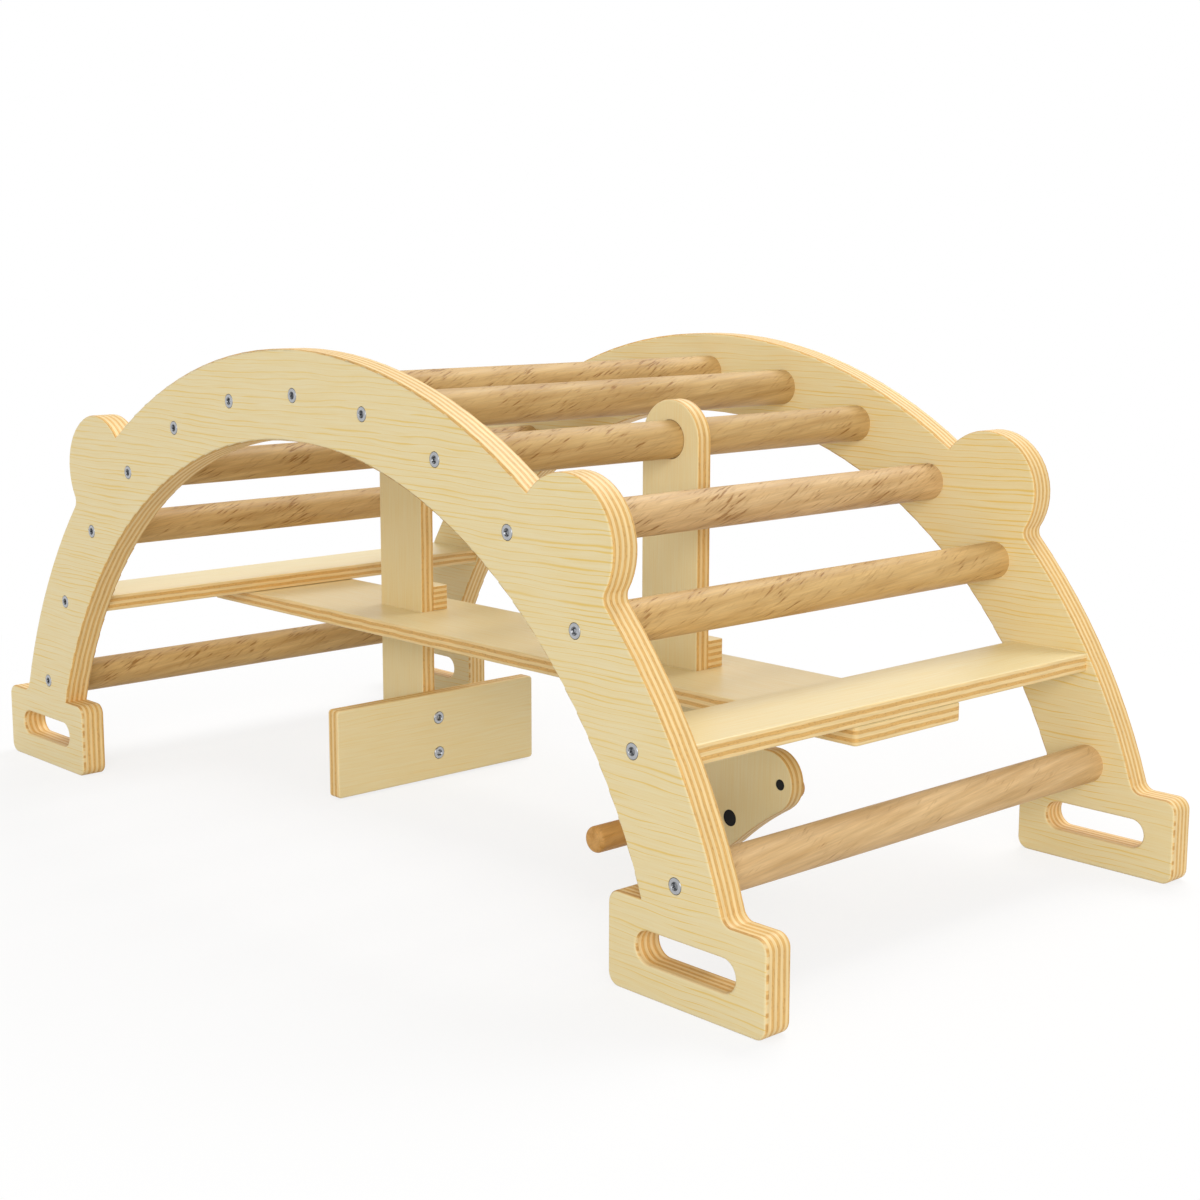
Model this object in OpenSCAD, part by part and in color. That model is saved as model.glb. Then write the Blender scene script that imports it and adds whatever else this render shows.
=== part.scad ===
// Climbing arch for children, shown as a climber, with the seat of its rocker mode hanging inside it.
// The arch runs along X and its rungs along Y. The floor is z = 0, under the middle of the arch.

/* [Side panels] */
// Radius of the circle on which the rungs and steps are bolted
bolt_circle_r = 472; // [455:1:485]
// Depth of that circle's centre below the floor
arc_drop = 78.4; // [70:0.2:86]
// Width over the outer faces of the two side panels
arch_w = 510; // [420:1:600]
// Thickness of the side panels
panel_t = 24; // [20:1:30]
// Width of the arched band
band_w = 75; // [64:1:86]
// Rounding of the side panels' edges
panel_edge_r = 2; // [0.5:0.5:4]

/* [Feet] */
// Length of each foot
foot_l = 150; // [130:1:170]
// Height of each foot
foot_h = 70; // [60:1:80]
// Radius of each foot's corners
foot_corner_r = 10; // [5:1:16]
// How far a foot's middle lies outside the middle of the band at the foot's top
foot_shift = 3.3; // [0:0.1:10]
// Radius in the corner between the band's outer edge and the foot
foot_fillet_r = 10; // [5:1:16]
// Length of the hand slot in each foot
slot_l = 94; // [70:1:104]
// Height of the hand slot
slot_h = 24; // [18:1:32]
// Height of the hand slot's middle above the floor
slot_z = 36; // [30:1:40]

/* [Ears] */
// Radius of the ears that stop the rocker from tipping
ear_r = 51.5; // [44:0.5:58]
// How far an ear's centre lies inside the band's outer edge
ear_inset = 3; // [0:0.5:10]
// Place of an ear, counted in rungs from the middle one
ear_place = 3.5; // [3.3:0.1:3.7]
// Radius in the corner under each ear
ear_fillet_r = 9; // [5:1:14]

/* [Rungs and steps] */
// Angle from one rung to the next, in degrees
rung_pitch = 11.587; // [11.4:0.001:11.8]
// Diameter of the rungs
rung_d = 32; // [27:1:36]
// Width of a step board
step_w = 76; // [64:1:84]
// Thickness of a step board
step_t = 15; // [14:0.5:18]
// Rounding of the edges of the boards
board_edge_r = 1.5; // [0.5:0.5:2.5]

/* [Seat] */
// Width of the seat plank
plank_w = 126; // [100:1:160]
// Thickness of the seat plank
plank_t = 15; // [12:0.5:18]
// Radius of the seat plank's corners
plank_corner_r = 4; // [3:1:12]
// How far the seat plank's ends stop short of the step boards' outer edges
plank_short = 1; // [0:0.5:20]
// Gap between the seat plank and the step boards above it
seat_gap = 0.3; // [0.2:0.1:2]
// Width of the two uprights
upright_w = 66; // [58:1:74]
// Thickness of the two uprights
upright_t = 15; // [14:0.5:18]
// Gap between an upright's bore and its rung, all round
rung_play = 0.5; // [0.2:0.1:1.5]
// Gap round an upright in its slot through the plank
slot_fit = 0.2; // [0.1:0.1:0.5]
// Length of the cleats, across the uprights
cleat_l = 66; // [56:1:74]
// Width of the cleats
cleat_w = 17; // [14:1:24]
// Height of the cleats
cleat_h = 24; // [20:1:30]
// Radius of the cleats' corners
cleat_corner_r = 2; // [1.5:0.5:4]
// Rounding of the cleats' edges
cleat_edge_r = 1; // [0.4:0.1:1.2]

/* [Backrest] */
// Length of the backrest board
backrest_l = 240; // [180:1:300]
// Height of the backrest board
backrest_h = 84; // [70:1:86]
// Thickness of the backrest board
backrest_t = 15; // [12:0.5:18]
// Radius of the backrest board's corners
backrest_corner_r = 3.5; // [2:0.5:16]
// Gap between the backrest board and the floor
backrest_gap = 2; // [1:1:10]
// Distance from the backrest board's lower edge up to the end of its upright
upright_short = 6; // [4:1:12]
// Radius of the upright's corners at that end
upright_end_r = 10; // [4:1:16]
// Distance between the two bolts of the backrest
backrest_bolt_gap = 35; // [28:1:44]

/* [Head] */
// Radius of the crown, which is flush with the upright's back edge
crown_r = 68; // [60:1:69]
// Gap between the crown and the floor
crown_gap = 11; // [6:1:16]
// Radius of the nose
nose_r = 26; // [22:1:30]
// Height of the nose's centre over the crown's centre
nose_rise = 7; // [0:0.5:10]
// Distance from the upright's middle forward to the nose's centre
nose_reach = 114.8; // [105:0.1:125]
// Radius of the hollow in the line between the crown and the nose
brow_r = 300; // [240:10:400]
// Depth of that hollow
brow_hollow = 1.5; // [0.5:0.1:1.8]
// Radius in the corner between the neck and the chin
neck_fillet_r = 12; // [6:1:16]
// Diameter of the eye
eye_d = 14; // [10:1:18]
// Distance from the crown's centre forward to the eye
eye_ahead = 38.2; // [34:0.1:42]
// Distance from the crown's centre down to the eye
eye_drop = 32.1; // [28:0.1:35]
// Diameter of the nostril
nostril_d = 9; // [6:0.5:12]
// Distance from the nose's centre forward to the nostril
nostril_ahead = 13.3; // [8:0.1:15]
// How far the eye and the nostril stand out of the board
plug_proud = 0.3; // [0:0.1:1]
// Rounding of the eye's and the nostril's rims
plug_edge_r = 0.8; // [0.4:0.1:1.5]

/* [Handlebar] */
// Diameter of the handlebar
handlebar_d = 22; // [18:1:26]
// Length of the handlebar
handlebar_l = 246; // [160:1:300]
// Rounding of the handlebar's ends
handlebar_end_r = 4; // [1:0.5:8]
// Distance from the crown's centre down to the handlebar's axis
handlebar_drop = 37; // [30:0.5:44]
// Distance from the crown's centre back to the handlebar's axis
handlebar_back = 3; // [0:0.1:10]

/* [Fasteners] */
// Diameter of the bolts' shanks
bolt_d = 6; // [5:0.5:7]
// Diameter of the bolts' heads
bolt_head_d = 12; // [11:0.5:14]
// Height of the bolts' heads
bolt_head_h = 4.4; // [3.6:0.2:6]
// Rounding of the bolts' heads
bolt_head_edge_r = 1.1; // [0.5:0.1:1.5]
// How far the bolts' heads stand out of the wood
bolt_proud = 0.4; // [0:0.1:1]
// Width of the hexagon socket across its flats
socket_w = 5; // [4:0.5:6]
// Depth of the hexagon socket
socket_h = 3; // [2:0.2:3.4]
// Length of a bolt's thread inside a rung's insert
insert_grip = 14; // [10:1:15]
// How far a bolt's end passes its barrel nut
bolt_past = 1; // [0:0.5:3]
// Gap round the bolts in the wood and in their nuts
bolt_gap = 0.2; // [0.1:0.1:0.5]
// Diameter of the threaded inserts in the rungs
insert_d = 10; // [9:0.5:12]
// Length of the threaded inserts
insert_l = 15; // [12:1:20]
// Diameter of the barrel nuts
barrel_d = 10; // [9:0.5:12]
// Length of the barrel nuts
barrel_l = 12; // [10:0.5:12.5]
// Distance from a board's end to the axis of its barrel nut
barrel_depth = 24; // [20:1:26]
// Width of the screwdriver slot in the open end of a barrel nut
nut_slot_w = 1.2; // [0.8:0.1:1.6]
// Depth of that slot
nut_slot_h = 1.4; // [0.8:0.1:1.8]
// Diameter of the locating dowels
dowel_d = 8; // [6:1:9]
// Length of the locating dowels
dowel_l = 30; // [26:1:36]
// Depth of the locating dowels in the side panels
dowel_in_panel = 12; // [8:1:16]
// Distance from a step board's bolt to each locating dowel
dowel_reach = 25; // [20:1:26]
// Diameter of the wood screws
screw_d = 4; // [3:0.5:5]
// Diameter of the wood screws' heads
screw_head_d = 8; // [7:0.5:9]
// How far the screws through the plank go into a cleat
plank_screw_bite = 17; // [12:1:19]
// How far the screws through a cleat go into its upright
cleat_screw_bite = 11; // [8:1:13]
// Distance from the upright's middle to each screw in the plank
plank_screw_reach = 22; // [18:1:24]
// Distance from the upright's middle to each screw in the cleat
cleat_screw_reach = 9; // [7:1:11]
// Gap round the dowels, inserts, nuts and screws in their holes
drill_gap = 0.1; // [0.05:0.05:0.3]

/* [Hidden] */
$fn = 96;
// Facets of the large rounds
round_fn = 180;
// How far a cut runs past the surface that it opens
eps = 1;
// Size of a block that is larger than the arch
far = 900;
// How far the curve in a corner runs into the two edges that it joins
bite = 0.15;
// Places of the last rung, the steps and the uprights, counted in rungs from the middle one
members = 6;
step_place = 5;
upright_place = 2;
outer_r = bolt_circle_r + band_w / 2;
inner_r = bolt_circle_r - band_w / 2;
inner_w = arch_w - 2 * panel_t;
arc_c = [0, -arc_drop];
head_seat = bolt_head_h - bolt_proud;
ply_color = "#e6d3a3";
ply_dark_color = "#d8c08c";
beech_color = "#cfa263";
steel_color = "#b9bcc0";
brass_color = "#c2a14d";
black_color = "#1d1c1b";

// Centre of the rung or step that is k places from the middle one, as x and z
function member(k) =
    [bolt_circle_r * sin(k * rung_pitch), bolt_circle_r * cos(k * rung_pitch) - arc_drop];

// Point that lies a from p and b from q, to the right of the way from p to q
function third_point(p, a, q, b) =
    let (s = norm(q - p), u = (q - p) / s, x = (a * a - b * b + s * s) / (2 * s))
    p + x * u + sqrt(a * a - x * x) * [u[1], -u[0]];

// Distance from the middle of the arch to a circle of radius r about the arc's centre, at height z
function arc_x(r, z) = sqrt(r * r - pow(z + arc_drop, 2));

foot_x = arc_x(bolt_circle_r, foot_h) + foot_shift;
band_end_z = 2 * foot_corner_r;
foot_fillet_z = foot_h + foot_fillet_r - bite;
foot_fillet_x = arc_x(outer_r + foot_fillet_r - bite, foot_fillet_z);
ear_angle = ear_place * rung_pitch;
ear_c = arc_c + (outer_r - ear_inset) * [sin(ear_angle), cos(ear_angle)];

step_x = member(step_place)[0];
step_z = member(step_place)[1];
plank_top = step_z - step_t / 2 - seat_gap;
plank_under = plank_top - plank_t;
rung_bolt_l = panel_t - head_seat + insert_grip;
step_bolt_l = panel_t - head_seat + barrel_depth + barrel_d / 2 + bolt_past;
backrest_bolt_l = backrest_t - head_seat + barrel_depth + barrel_d / 2 + bolt_past;
plank_screw_l = plank_t + plank_screw_bite;
cleat_screw_l = cleat_w + cleat_screw_bite;
plank_l = 2 * (step_x + step_w / 2 - plank_short);
upright_x = member(upright_place)[0];
upright_z = member(upright_place)[1];
backrest_z = backrest_gap + backrest_h / 2;
backrest_x = -upright_x + upright_w / 2 + backrest_t / 2;
upright_foot_z = backrest_z - backrest_h / 2 + upright_short;
crown_c = [upright_x - upright_w / 2 + crown_r, crown_gap + crown_r];
nose_c = [upright_x + nose_reach, crown_c[1] + nose_rise];
brow_rise = crown_r - nose_r;
brow_l = sqrt(pow(norm(nose_c - crown_c), 2) - brow_rise * brow_rise);
brow_angle = atan2(nose_c[1] - crown_c[1], nose_c[0] - crown_c[0]) + atan2(brow_rise, brow_l);
neck_c = [upright_x + upright_w / 2, nose_c[1] + nose_r] + (neck_fillet_r - bite) * [1, 1];
eye_c = crown_c + [eye_ahead, -eye_drop];
nostril_c = nose_c + [nostril_ahead, 0];
handlebar_x = crown_c[0] - handlebar_back;
handlebar_z = crown_c[1] - handlebar_drop;
cleat_y = upright_t / 2 + cleat_w / 2;

// Rectangle w by t about the origin, with its corners rounded to e
module round_rect(w, t, e) {
    square([w, t - 2 * e], center = true);
    square([w - 2 * e, t], center = true);
    for (x = [-1, 1], y = [-1, 1]) translate([x * (w / 2 - e), y * (t / 2 - e)]) circle(e);
}

// Half of a slot's section, w from the axis to the wall, flared by e at both faces of a board t thick
module flared_half(w, t, e) {
    translate([0, -t / 2 - eps]) square([w, t + 2 * eps]);
    for (s = [-1, 1]) scale([1, s]) difference() {
        translate([0, t / 2 - e]) square([w + e, e + eps]);
        translate([w + e, t / 2 - e]) circle(e);
    }
}

// Disc of radius r in a board t thick, with rounded edges
module board_disc(r, t, e) {
    rotate_extrude($fn = round_fn) intersection() {
        round_rect(2 * r, t, e);
        translate([0, -t]) square([r + eps, 2 * t]);
    }
}

// Round cut of radius r in a board t thick, which leaves rounded edges
module disc_cut(r, t, e) {
    rotate_extrude($fn = round_fn) flared_half(r, t, e);
}

// Bar of a board along X, with rounded edges and plain ends
module board_bar(l, w, t, e) {
    rotate([90, 0, 90]) linear_extrude(l, center = true) round_rect(w, t, e);
}

// Board in the XY plane with corners of radius c and rounded edges
module board(l, w, t, c, e) {
    board_bar(l - 2 * c, w, t, e);
    rotate([0, 0, 90]) board_bar(w - 2 * c, l, t, e);
    for (x = [-1, 1], y = [-1, 1]) translate([x * (l / 2 - c), y * (w / 2 - c), 0]) board_disc(c, t, e);
}

// Cut with round ends along X through a board t thick, which leaves rounded edges
module slot_cut(l, w, t, e) {
    for (s = [-1, 1]) translate([s * (l - w) / 2, 0, 0]) disc_cut(w / 2, t, e);
    rotate([90, 0, 90]) linear_extrude(l - w, center = true)
        for (s = [-1, 1]) scale([s, 1]) flared_half(w / 2, t, e);
}

// Filled corner between shapes that touch the circle of radius r about c, inside the outline points
module board_web(points, c, r, t, e) {
    difference() {
        linear_extrude(t, center = true) polygon(points);
        translate([c[0], c[1], 0]) disc_cut(r, t, e);
    }
}

// Turns a board drawn in the XY plane upright, so that its face towards +Z looks along -Y
module stand() {
    rotate([90, 0, 0]) children();
}

module both_sides() {
    children();
    mirror([0, 1, 0]) children();
}

module both_ends() {
    children();
    mirror([1, 0, 0]) children();
}

// Places children at the k-th member, along Z from the outer face of the front panel, heads outwards
module at_front(k) {
    translate([member(k)[0], -arch_w / 2, member(k)[1]]) stand() children();
}

module at_rungs_front() {
    for (k = [-members:members]) if (abs(k) != step_place) at_front(k) children();
}

// Disc of radius r and height h on z = 0, with its top edge rounded to e
module cap(r, h, e) {
    rotate_extrude() {
        square([r, h - e]);
        square([r - e, h]);
        translate([r - e, h - e]) intersection() {
            circle(e);
            square(e);
        }
    }
}

// Hexagon socket bolt with its head's top at z = bolt_proud and a shank of length l
module bolt(l) {
    translate([0, 0, -head_seat]) {
        difference() {
            union() {
                cap(bolt_head_d / 2, bolt_head_h, bolt_head_edge_r);
                translate([0, 0, -l]) cylinder(d = bolt_d, h = l + eps);
            }
            translate([0, 0, bolt_head_h - socket_h])
                cylinder(d = socket_w / cos(30), h = socket_h + eps, $fn = 6);
        }
    }
}

// Hole for a bolt of length l, with the seat of its head
module bolt_hole(l) {
    translate([0, 0, -head_seat]) cylinder(d = bolt_head_d + 2 * bolt_gap, h = head_seat + eps);
    translate([0, 0, -head_seat - l - eps]) cylinder(d = bolt_d + 2 * bolt_gap, h = l + 2 * eps);
}

// Countersunk wood screw, head up at z = 0 and point at z = -l, made wider all round by grow
module wood_screw(l, grow) {
    d = screw_d + 2 * grow;
    cone_h = (screw_head_d - screw_d) / 2;
    point_h = screw_d;
    translate([0, 0, -cone_h]) cylinder(d1 = d, d2 = screw_head_d + 2 * grow, h = cone_h);
    translate([0, 0, -l + point_h]) cylinder(d = d, h = l - point_h - cone_h / 2);
    translate([0, 0, -l - grow]) cylinder(d1 = screw_d / 4, d2 = d, h = point_h + grow);
}

// The same screw with a cross recess, as deep as half the shank's diameter
module screw_with_recess(l) {
    recess_w = screw_d * 0.3;
    recess_l = screw_head_d * 0.6;
    difference() {
        wood_screw(l, 0);
        for (a = [0, 90]) rotate([0, 0, a]) cube([recess_l, recess_w, screw_d], center = true);
    }
}

// Barrel nut on Z, bored along X, with its screwdriver slot in the lower end
module barrel_nut() {
    difference() {
        cylinder(d = barrel_d, h = barrel_l, center = true);
        rotate([0, 90, 0]) cylinder(d = bolt_d + 2 * bolt_gap, h = 2 * barrel_d, center = true);
        translate([-barrel_d, -nut_slot_w / 2, -barrel_l / 2 - eps])
            cube([2 * barrel_d, nut_slot_w, nut_slot_h + eps]);
    }
}

// Hole for a barrel nut, open below, in a board t thick about z = 0
module barrel_hole(t) {
    hole_h = t / 2 + barrel_l / 2 + drill_gap;
    translate([0, 0, -t / 2 - eps]) cylinder(d = barrel_d + 2 * drill_gap, h = hole_h + eps);
}

module at_step_barrels() {
    both_ends() both_sides() translate([step_x, inner_w / 2 - barrel_depth, step_z])
        rotate([0, 0, 90]) children();
}

module at_step_dowels() {
    both_ends() both_sides() for (s = [-1, 1])
        translate([step_x + s * dowel_reach, -inner_w / 2, step_z]) stand() children();
}

// Places children at the backrest's bolts, along Z from the backrest's face, heads outwards
module at_backrest_bolts() {
    for (s = [-1, 1])
        translate([backrest_x + backrest_t / 2, 0, backrest_z + s * backrest_bolt_gap / 2])
            rotate([0, 90, 0]) children();
}

module at_backrest_barrels() {
    for (s = [-1, 1])
        translate([-upright_x + upright_w / 2 - barrel_depth, 0, backrest_z + s * backrest_bolt_gap / 2])
            stand() children();
}

module at_plank_screws() {
    for (x = [-upright_x, upright_x], s = [-1, 1])
        translate([x + s * plank_screw_reach, cleat_y, plank_under]) rotate([180, 0, 0]) children();
}

module at_cleat_screws() {
    for (x = [-upright_x, upright_x], s = [-1, 1])
        translate([x + s * cleat_screw_reach, cleat_y + cleat_w / 2, plank_top + cleat_h / 2])
            rotate([-90, 0, 0]) children();
}

// Hole for a locating dowel, from inwards under z = 0 to outwards over it, with a little air at each end
module dowel_hole(outwards, inwards) {
    hole_h = inwards + outwards + 2 * eps;
    translate([0, 0, -inwards - eps]) cylinder(d = dowel_d + 2 * drill_gap, h = hole_h);
}

module foot() {
    translate([foot_x, foot_h / 2, 0]) board(foot_l, foot_h, panel_t, foot_corner_r, panel_edge_r);
}

module ear() {
    reach = ear_fillet_r - bite;
    fillet_c = third_point(arc_c, outer_r + reach, ear_c, ear_r + reach);
    translate([ear_c[0], ear_c[1], 0]) board_disc(ear_r, panel_t, panel_edge_r);
    board_web([arc_c, ear_c, fillet_c], fillet_c, ear_fillet_r, panel_t, panel_edge_r);
}

// Rounded corner between the band's outer edge and the foot's top
module foot_corner() {
    c = [foot_fillet_x, foot_fillet_z];
    p = arc_c + bolt_circle_r / norm(c - arc_c) * (c - arc_c);
    board_web([p, c, [c[0], foot_h / 2], [p[0], foot_h / 2]], c, foot_fillet_r, panel_t, panel_edge_r);
}

// The arched band with its ears, down into the feet
module band() {
    difference() {
        union() {
            translate([0, -arc_drop, 0]) board_disc(outer_r, panel_t, panel_edge_r);
            both_ends() ear();
        }
        translate([0, -arc_drop, 0]) disc_cut(inner_r, panel_t, panel_edge_r);
        translate([-far, band_end_z - far, -panel_t]) cube([2 * far, far, 2 * panel_t]);
    }
}

// The front panel. The back one is its mirror image.
module side_panel() {
    color(ply_color) difference() {
        translate([0, panel_t / 2 - arch_w / 2, 0]) stand() difference() {
            union() {
                band();
                both_ends() foot();
                both_ends() foot_corner();
            }
            both_ends() translate([foot_x, slot_z, 0]) slot_cut(slot_l, slot_h, panel_t, panel_edge_r);
        }
        for (k = [-members:members]) at_front(k) bolt_hole(panel_t);
        at_step_dowels() dowel_hole(dowel_in_panel, 0);
    }
}

module rung(k) {
    hole_h = max(insert_l, insert_grip) + eps;
    color(beech_color) translate([member(k)[0], 0, member(k)[1]]) stand() difference() {
        cylinder(d = rung_d, h = inner_w, center = true);
        for (s = [-1, 1]) translate([0, 0, s * inner_w / 2])
            cylinder(d = insert_d + 2 * drill_gap, h = 2 * hole_h, center = true);
    }
}

module step_board() {
    color(ply_color) difference() {
        translate([step_x, 0, step_z]) rotate([0, 0, 90])
            board_bar(inner_w, step_w, step_t, board_edge_r);
        at_front(step_place) bolt_hole(step_bolt_l);
        mirror([0, 1, 0]) at_front(step_place) bolt_hole(step_bolt_l);
        at_step_barrels() barrel_hole(step_t);
        at_step_dowels() dowel_hole(0, dowel_l - dowel_in_panel);
    }
}

module seat_plank() {
    color(ply_color) difference() {
        translate([0, 0, plank_top - plank_t / 2])
            board(plank_l, plank_w, plank_t, plank_corner_r, board_edge_r);
        for (x = [-upright_x, upright_x]) translate([x, 0, plank_top])
            cube([upright_w + 2 * slot_fit, upright_t + 2 * slot_fit, 3 * plank_t], center = true);
        at_plank_screws() wood_screw(plank_screw_l, drill_gap);
    }
}

// Upright board from the middle of its round end at height z = top down to z = foot
module upright_bar(top, foot) {
    translate([0, (top + foot) / 2, 0]) rotate([0, 0, 90])
        board_bar(top - foot, upright_w, upright_t, board_edge_r);
    translate([0, top, 0]) board_disc(upright_w / 2, upright_t, board_edge_r);
}

module upright_bore() {
    translate([0, upright_z, 0]) cylinder(r = rung_d / 2 + rung_play, h = 2 * upright_t, center = true);
}

module backrest_upright() {
    end_h = 3 * upright_end_r;
    color(ply_dark_color) difference() {
        translate([-upright_x, 0, 0]) stand() difference() {
            union() {
                upright_bar(upright_z, upright_foot_z + upright_end_r);
                translate([0, upright_foot_z + end_h / 2, 0])
                    board(upright_w, end_h, upright_t, upright_end_r, board_edge_r);
            }
            upright_bore();
        }
        at_backrest_bolts() bolt_hole(backrest_bolt_l);
        at_backrest_barrels() barrel_hole(upright_t);
        at_cleat_screws() wood_screw(cleat_screw_l, drill_gap);
    }
}

// The lower part of the crown, up to the height of the nose's centre
module crown() {
    difference() {
        translate([crown_c[0], crown_c[1], 0]) board_disc(crown_r, upright_t, board_edge_r);
        translate([0, nose_c[1], -upright_t]) cube([far, far, 2 * upright_t]);
    }
}

// The stretch between the crown and the nose, with its hollow
module brow() {
    translate([crown_c[0], crown_c[1], 0]) rotate([0, 0, brow_angle]) difference() {
        translate([brow_l / 2, nose_r - crown_r, 0])
            board_bar(brow_l, 2 * nose_r, upright_t, board_edge_r);
        translate([brow_l / 2, brow_hollow - crown_r - brow_r, 0])
            disc_cut(brow_r, upright_t, board_edge_r);
    }
}

// The animal's head in profile, nose towards +X and crown down
module head_profile() {
    chin_l = nose_c[0] - upright_x;
    crown();
    brow();
    translate([nose_c[0], nose_c[1], 0]) board_disc(nose_r, upright_t, board_edge_r);
    translate([upright_x + chin_l / 2, nose_c[1], 0])
        board_bar(chin_l, 2 * nose_r, upright_t, board_edge_r);
    board_web([[upright_x, nose_c[1]], [upright_x, neck_c[1]], neck_c, [neck_c[0], nose_c[1]]],
              neck_c, neck_fillet_r, upright_t, board_edge_r);
}

// Hole of diameter d, with drill_gap round it, through an upright
module plug_hole(d) {
    cylinder(d = d + 2 * drill_gap, h = 2 * upright_t, center = true);
}

module head_upright() {
    color(ply_dark_color) difference() {
        stand() difference() {
            union() {
                translate([upright_x, 0, 0]) upright_bar(upright_z, crown_c[1]);
                head_profile();
            }
            translate([upright_x, 0, 0]) upright_bore();
            translate([eye_c[0], eye_c[1], 0]) plug_hole(eye_d);
            translate([nostril_c[0], nostril_c[1], 0]) plug_hole(nostril_d);
            translate([handlebar_x, handlebar_z, 0]) plug_hole(handlebar_d);
        }
        at_cleat_screws() wood_screw(cleat_screw_l, drill_gap);
    }
}

// Round plug through the head, standing out a little on both sides
module plug(c, d) {
    color(black_color) translate([c[0], 0, c[1]]) stand()
        board_disc(d / 2, upright_t + 2 * plug_proud, plug_edge_r);
}

module handlebar() {
    color(beech_color) translate([handlebar_x, 0, handlebar_z]) stand()
        board_disc(handlebar_d / 2, handlebar_l, handlebar_end_r);
}

module backrest_board() {
    color(ply_dark_color) difference() {
        translate([backrest_x, 0, backrest_z]) rotate([90, 0, 90])
            board(backrest_l, backrest_h, backrest_t, backrest_corner_r, board_edge_r);
        at_backrest_bolts() bolt_hole(backrest_bolt_l);
    }
}

module cleat(x) {
    color(ply_color) difference() {
        translate([x, cleat_y, plank_top + cleat_h / 2])
            board(cleat_l, cleat_w, cleat_h, cleat_corner_r, cleat_edge_r);
        at_plank_screws() wood_screw(plank_screw_l, drill_gap);
        at_cleat_screws() wood_screw(cleat_screw_l, drill_gap);
    }
}

module insert() {
    color(brass_color) difference() {
        cylinder(d = insert_d, h = insert_l);
        translate([0, 0, -eps]) cylinder(d = bolt_d + 2 * bolt_gap, h = insert_l + 2 * eps);
    }
}

module rung_inserts() {
    at_rungs_front() translate([0, 0, -panel_t - insert_l]) insert();
}

module rung_bolts() {
    color(steel_color) at_rungs_front() bolt(rung_bolt_l);
}

module step_bolts() {
    color(steel_color) both_ends() both_sides() at_front(step_place) bolt(step_bolt_l);
}

module backrest_bolts() {
    color(steel_color) at_backrest_bolts() bolt(backrest_bolt_l);
}

module step_barrel_nuts() {
    color(steel_color) at_step_barrels() barrel_nut();
}

module backrest_barrel_nuts() {
    color(steel_color) at_backrest_barrels() barrel_nut();
}

module step_dowels() {
    color(beech_color) at_step_dowels()
        translate([0, 0, dowel_in_panel - dowel_l]) cylinder(d = dowel_d, h = dowel_l);
}

module plank_screws() {
    color(steel_color) at_plank_screws() screw_with_recess(plank_screw_l);
}

module cleat_screws() {
    color(steel_color) at_cleat_screws() screw_with_recess(cleat_screw_l);
}

side_panel();  // side_panel_front
mirror([0, 1, 0]) side_panel();  // side_panel_back
rung(-6);  // rung_01
rung(-4);  // rung_02
rung(-3);  // rung_03
rung(-2);  // rung_04
rung(-1);  // rung_05
rung(0);  // rung_06
rung(1);  // rung_07
rung(2);  // rung_08
rung(3);  // rung_09
rung(4);  // rung_10
rung(6);  // rung_11
mirror([1, 0, 0]) step_board();  // step_board_left
step_board();  // step_board_right
seat_plank();
backrest_upright();
head_upright();
backrest_board();
handlebar();
cleat(-upright_x);  // backrest_cleat
cleat(upright_x);  // head_cleat
plug(eye_c, eye_d);  // eye_plug
plug(nostril_c, nostril_d);  // nostril_plug
rung_bolts();  // rung_bolts_front
mirror([0, 1, 0]) rung_bolts();  // rung_bolts_back
step_bolts();
backrest_bolts();
rung_inserts();  // rung_inserts_front
mirror([0, 1, 0]) rung_inserts();  // rung_inserts_back
step_barrel_nuts();
backrest_barrel_nuts();
step_dowels();
plank_screws();
cleat_screws();
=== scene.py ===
"""Finishes, bolts, floor, light and camera for the climbing arch with a hanging rocker seat."""

import math

import bmesh
import bpy
from bpy.props import FloatProperty, FloatVectorProperty, IntProperty, PointerProperty
from bpy.types import Operator, Panel, PropertyGroup
from mathutils import Matrix, Vector


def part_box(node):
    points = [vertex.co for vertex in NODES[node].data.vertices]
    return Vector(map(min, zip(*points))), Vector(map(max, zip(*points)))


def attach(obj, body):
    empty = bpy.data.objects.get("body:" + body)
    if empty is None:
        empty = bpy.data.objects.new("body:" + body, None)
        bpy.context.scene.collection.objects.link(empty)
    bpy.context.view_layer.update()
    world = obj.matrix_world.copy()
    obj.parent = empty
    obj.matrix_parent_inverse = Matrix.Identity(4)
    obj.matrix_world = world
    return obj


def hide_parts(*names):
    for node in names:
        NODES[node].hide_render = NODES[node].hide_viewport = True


bl_info = {
    "name": "Climbing arch finishes",
    "version": (1, 0, 0),
    "blender": (4, 5, 0),
    "location": "3D View > Sidebar > Climbing arch",
    "description": "Plywood, beech, bolts, floor, light and camera for the climbing arch",
    "category": "Object",
}

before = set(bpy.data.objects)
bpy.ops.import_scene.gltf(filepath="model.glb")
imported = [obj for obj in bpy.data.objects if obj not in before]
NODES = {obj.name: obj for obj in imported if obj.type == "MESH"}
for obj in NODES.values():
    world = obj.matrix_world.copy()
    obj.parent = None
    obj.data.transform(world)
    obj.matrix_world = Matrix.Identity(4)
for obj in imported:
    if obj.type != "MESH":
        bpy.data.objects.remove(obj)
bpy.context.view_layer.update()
MM = 0.001

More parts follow.
